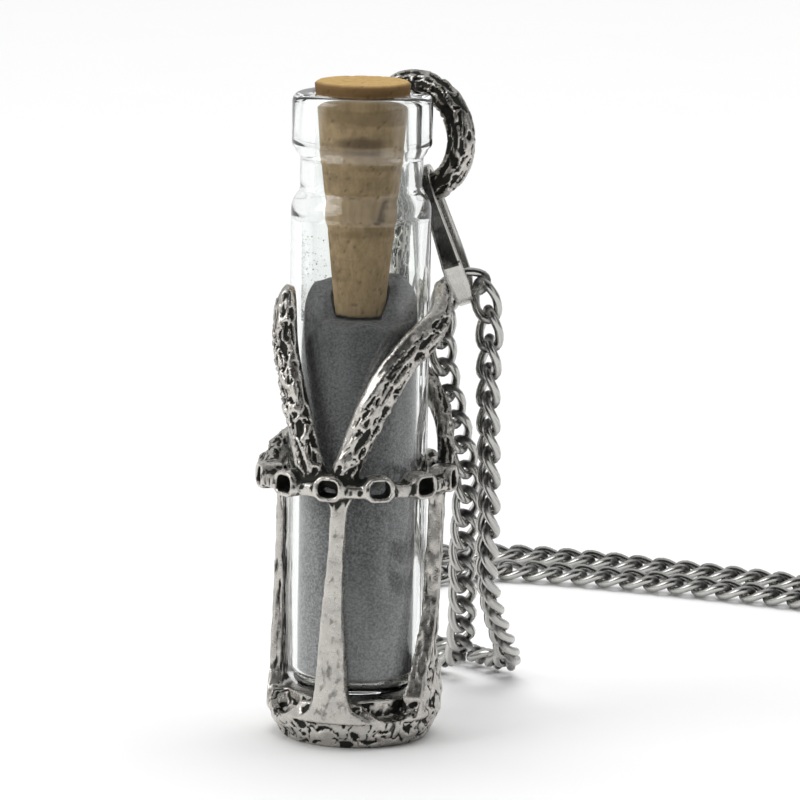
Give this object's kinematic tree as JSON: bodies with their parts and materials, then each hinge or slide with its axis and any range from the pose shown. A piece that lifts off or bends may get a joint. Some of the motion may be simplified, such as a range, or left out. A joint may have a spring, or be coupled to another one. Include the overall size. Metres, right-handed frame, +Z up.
{
  "type": "bottle pendant",
  "caption": "Corked glass vial of dark powder in a cast metal cage with a chain-link girdle and curling arms, a ring, a bail and a curb chain.",
  "frame": {"origin": "centre of the holder's underside, on which the pendant stands; the vial's axis is the Z axis", "axes": "+Z up along the vial, -Y towards the front, where the two arms rise from one point of the girdle, +X to the right"},
  "size_m": [0.0874, 0.1049, 0.0617],
  "materials": {
    "cast_silver": "oxidised cast silver with bark texture, raised parts polished",
    "vial_glass": "clear moulded glass",
    "powder": "fine matte dark grey powder",
    "cork": "natural cork",
    "bail_metal": "polished folded sheet",
    "chain_steel": "polished steel, darkened between the links"
  },
  "bodies": {
    "root": {"holder": "cast_silver", "bail": "bail_metal", "chain": "chain_steel", "clasp": "chain_steel"},
    "vial": {"vial": "vial_glass", "powder": "powder"},
    "cork": {"cork": "cork"}
  },
  "joints": [
    {"name": "vial_slide", "type": "slide", "parent": "root", "child": "vial", "axis": [0, 0, 1], "range_m": [0, 0.065]},
    {"name": "cork_slide", "type": "slide", "parent": "vial", "child": "cork", "axis": [0, 0, 1], "range_m": [0, 0.03]}
  ]
}
